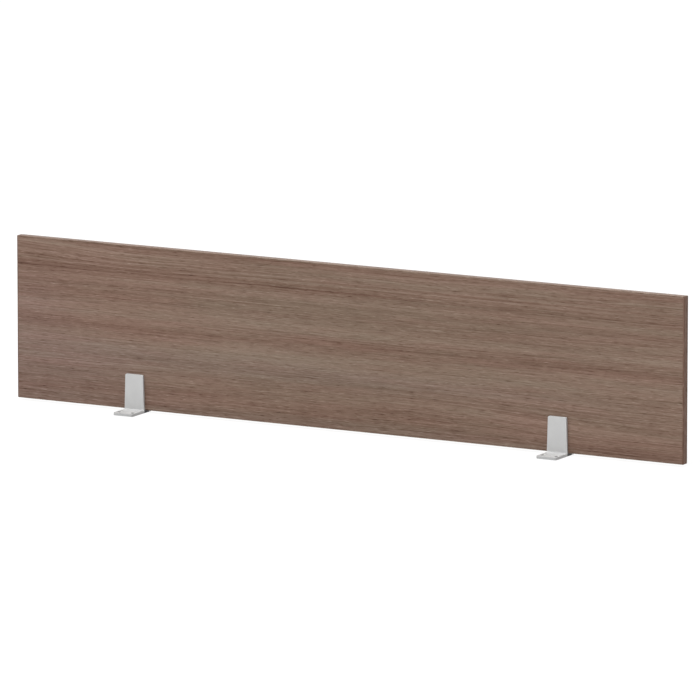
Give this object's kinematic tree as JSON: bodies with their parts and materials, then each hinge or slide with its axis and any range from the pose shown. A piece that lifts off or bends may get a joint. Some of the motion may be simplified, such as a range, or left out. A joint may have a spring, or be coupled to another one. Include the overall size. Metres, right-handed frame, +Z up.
{
  "type": "desk privacy panel",
  "caption": "Low wood-decor desk screen with edge bands, standing on steel brackets whose tapered uprights sit against its front and whose feet screw down to the desktop.",
  "frame": {"origin": "middle of the footprint on the desktop: half way along the panel, half way between the front and rear edges of the feet, at the feet's undersides", "axes": "+X along the panel, to the right of the person at the desk; +Y away from that person; +Z up"},
  "size_m": [1.36, 0.07, 0.3053],
  "materials": {
    "decor_board": "matt melamine decor of brown ash with a fine printed grain along X, over chipboard",
    "edge_band": "satin 2 mm plastic edge band in the same ash decor",
    "powder_coat": "light grey powder coat with a very fine orange peel",
    "plated_steel": "bright zinc plating, turned heads"
  },
  "bodies": {
    "root": {"panel_board": "decor_board", "edge_band_top": "edge_band", "edge_band_bottom": "edge_band", "edge_band_left": "edge_band", "edge_band_right": "edge_band", "bracket_left": "powder_coat", "bracket_right": "powder_coat", "sleeve_nut_left_lower": "plated_steel", "sleeve_nut_left_upper": "plated_steel", "sleeve_nut_right_lower": "plated_steel", "sleeve_nut_right_upper": "plated_steel", "bolt_left_lower": "plated_steel", "bolt_left_upper": "plated_steel", "bolt_right_lower": "plated_steel", "bolt_right_upper": "plated_steel"}
  },
  "joints": []
}
